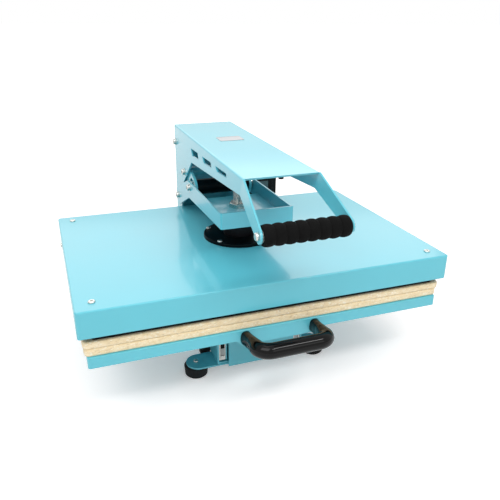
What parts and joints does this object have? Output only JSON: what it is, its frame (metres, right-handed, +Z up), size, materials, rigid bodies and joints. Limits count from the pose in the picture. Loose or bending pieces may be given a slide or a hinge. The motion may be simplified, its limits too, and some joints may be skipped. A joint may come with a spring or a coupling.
{
  "type": "flat heat press",
  "caption": "Flat heat press: wide heated platen over a felt-padded slide-out table, closed by a slotted top lever with a foam grip and toggle links, with a bow pull handle and round feet.",
  "frame": {"origin": "on the standing surface, at the centre of the object's footprint, under the heated plate", "axes": "+X to the operator's right, +Y to the rear where the post stands, +Z up"},
  "size_m": [0.646, 0.5968, 0.394],
  "materials": {
    "turquoise_coat": "powder coat, semi-gloss",
    "black_coat": "powder coat, semi-gloss",
    "zinc_steel": "bright zinc",
    "dark_steel": "black oxide",
    "bare_aluminium": "machined",
    "coated_aluminium": "black non-stick coating",
    "beige_felt": "needle felt",
    "glass_wool": "loose mineral board",
    "black_foam": "closed-cell foam",
    "black_rubber": "moulded",
    "black_gloss": "moulded, glossy",
    "black_plastic": "moulded, fine grain",
    "grey_plastic": "moulded",
    "lcd_window": "clear window over a teal display"
  },
  "bodies": {
    "frame": {"base_channel": "turquoise_coat", "foot_bars": "turquoise_coat", "rubber_feet": "black_rubber", "foot_screws": "zinc_steel", "side_bumper": "black_rubber", "post_channel": "turquoise_coat", "post_bolts": "zinc_steel", "pivot_spacers": "zinc_steel", "lever_pivot_bolt": "zinc_steel", "arm_pivot_bolt": "zinc_steel", "slide_outers": "zinc_steel", "controller_bracket": "black_coat", "controller_housing": "black_plastic", "controller_bezel": "black_plastic", "display_window": "lcd_window", "power_inlet": "black_plastic", "fuse_cap": "black_plastic"},
    "arm": {"arm_channel": "turquoise_coat", "link_pin_bolt": "zinc_steel", "link_pin_tube": "black_coat", "link_pin_bushes": "zinc_steel", "spindle_boss": "dark_steel", "jam_nut": "zinc_steel"},
    "platen": {"platen_cover": "turquoise_coat", "heating_plate": "coated_aluminium", "heater_element": "zinc_steel", "insulation_slab": "glass_wool", "centre_boss": "bare_aluminium", "corner_posts": "zinc_steel", "cover_screws": "zinc_steel", "platen_flange": "black_coat", "flange_screws": "zinc_steel", "swivel_cup": "dark_steel"},
    "spindle": {"pressure_spindle": "zinc_steel"},
    "lever": {"lever_channel": "turquoise_coat", "grip_tube": "zinc_steel", "foam_grip": "black_foam", "grip_bolts": "zinc_steel", "lever_bumper": "black_rubber", "lever_link_bolt": "zinc_steel"},
    "link": {"link_left": "turquoise_coat", "link_right": "turquoise_coat", "link_cross_tube": "turquoise_coat"},
    "slide_middle": {"slide_middles": "zinc_steel"},
    "drawer": {"slide_inners": "zinc_steel", "slide_end_caps": "grey_plastic", "slide_end_stops": "black_plastic", "carriage": "turquoise_coat", "carriage_bolts": "zinc_steel", "lower_tray": "turquoise_coat", "tray_stiffeners": "black_coat", "lower_felt": "beige_felt", "upper_felt": "beige_felt", "pull_handle": "black_gloss", "handle_screws": "zinc_steel"},
    "set_key": {"key_set": "black_rubber"},
    "up_key": {"key_up": "black_rubber"},
    "down_key": {"key_down": "black_rubber"},
    "rocker": {"power_rocker": "black_plastic"}
  },
  "joints": [
    {"name": "arm_hinge", "type": "hinge", "parent": "frame", "child": "arm", "pos_m": [0, 0.207, 0.248], "axis": [-1, 0, 0], "range_deg": [0, 29.8]},
    {"name": "lever_hinge", "type": "hinge", "parent": "frame", "child": "lever", "pos_m": [0, 0.229, 0.359], "axis": [-1, 0, 0], "range_deg": [0, 55]},
    {"name": "link_hinge", "type": "hinge", "parent": "lever", "child": "link", "pos_m": [0, 0.1595, 0.3105], "axis": [1, 0, 0], "range_deg": [0, 118.2]},
    {"name": "pressure_slide", "type": "slide", "parent": "arm", "child": "platen", "axis": [0, 0, 1], "range_m": [0, 0.0045]},
    {"name": "spindle_turn", "type": "hinge", "parent": "platen", "child": "spindle", "pos_m": [0, 0.004, 0.251], "axis": [0, 0, 1], "range_deg": [0, 650]},
    {"name": "drawer_slide", "type": "slide", "parent": "frame", "child": "drawer", "axis": [0, -1, 0], "range_m": [0, 0.3]},
    {"name": "slide_middle_slide", "type": "slide", "parent": "frame", "child": "slide_middle", "axis": [0, -1, 0], "range_m": [0, 0.15]},
    {"name": "set_key_press", "type": "slide", "parent": "frame", "child": "set_key", "axis": [0, 1, 0], "range_m": [0, 0.001], "stiffness_N_per_m": 500, "springref_m": -0.0006},
    {"name": "up_key_press", "type": "slide", "parent": "frame", "child": "up_key", "axis": [0, 1, 0], "range_m": [0, 0.001], "stiffness_N_per_m": 500, "springref_m": -0.0006},
    {"name": "down_key_press", "type": "slide", "parent": "frame", "child": "down_key", "axis": [0, 1, 0], "range_m": [0, 0.001], "stiffness_N_per_m": 500, "springref_m": -0.0006},
    {"name": "rocker_tilt", "type": "hinge", "parent": "frame", "child": "rocker", "pos_m": [0.127, 0.25, 0.2495], "axis": [-1, 0, 0], "range_deg": [0, 12]}
  ],
  "couplings": [
    {"joint": "lever_hinge", "follows": "arm_hinge", "ratio": 1.8446},
    {"joint": "link_hinge", "follows": "arm_hinge", "ratio": 3.9644},
    {"joint": "spindle_turn", "follows": "pressure_slide", "rad_per_m": 2513.3},
    {"joint": "slide_middle_slide", "follows": "drawer_slide", "ratio": 0.5}
  ]
}
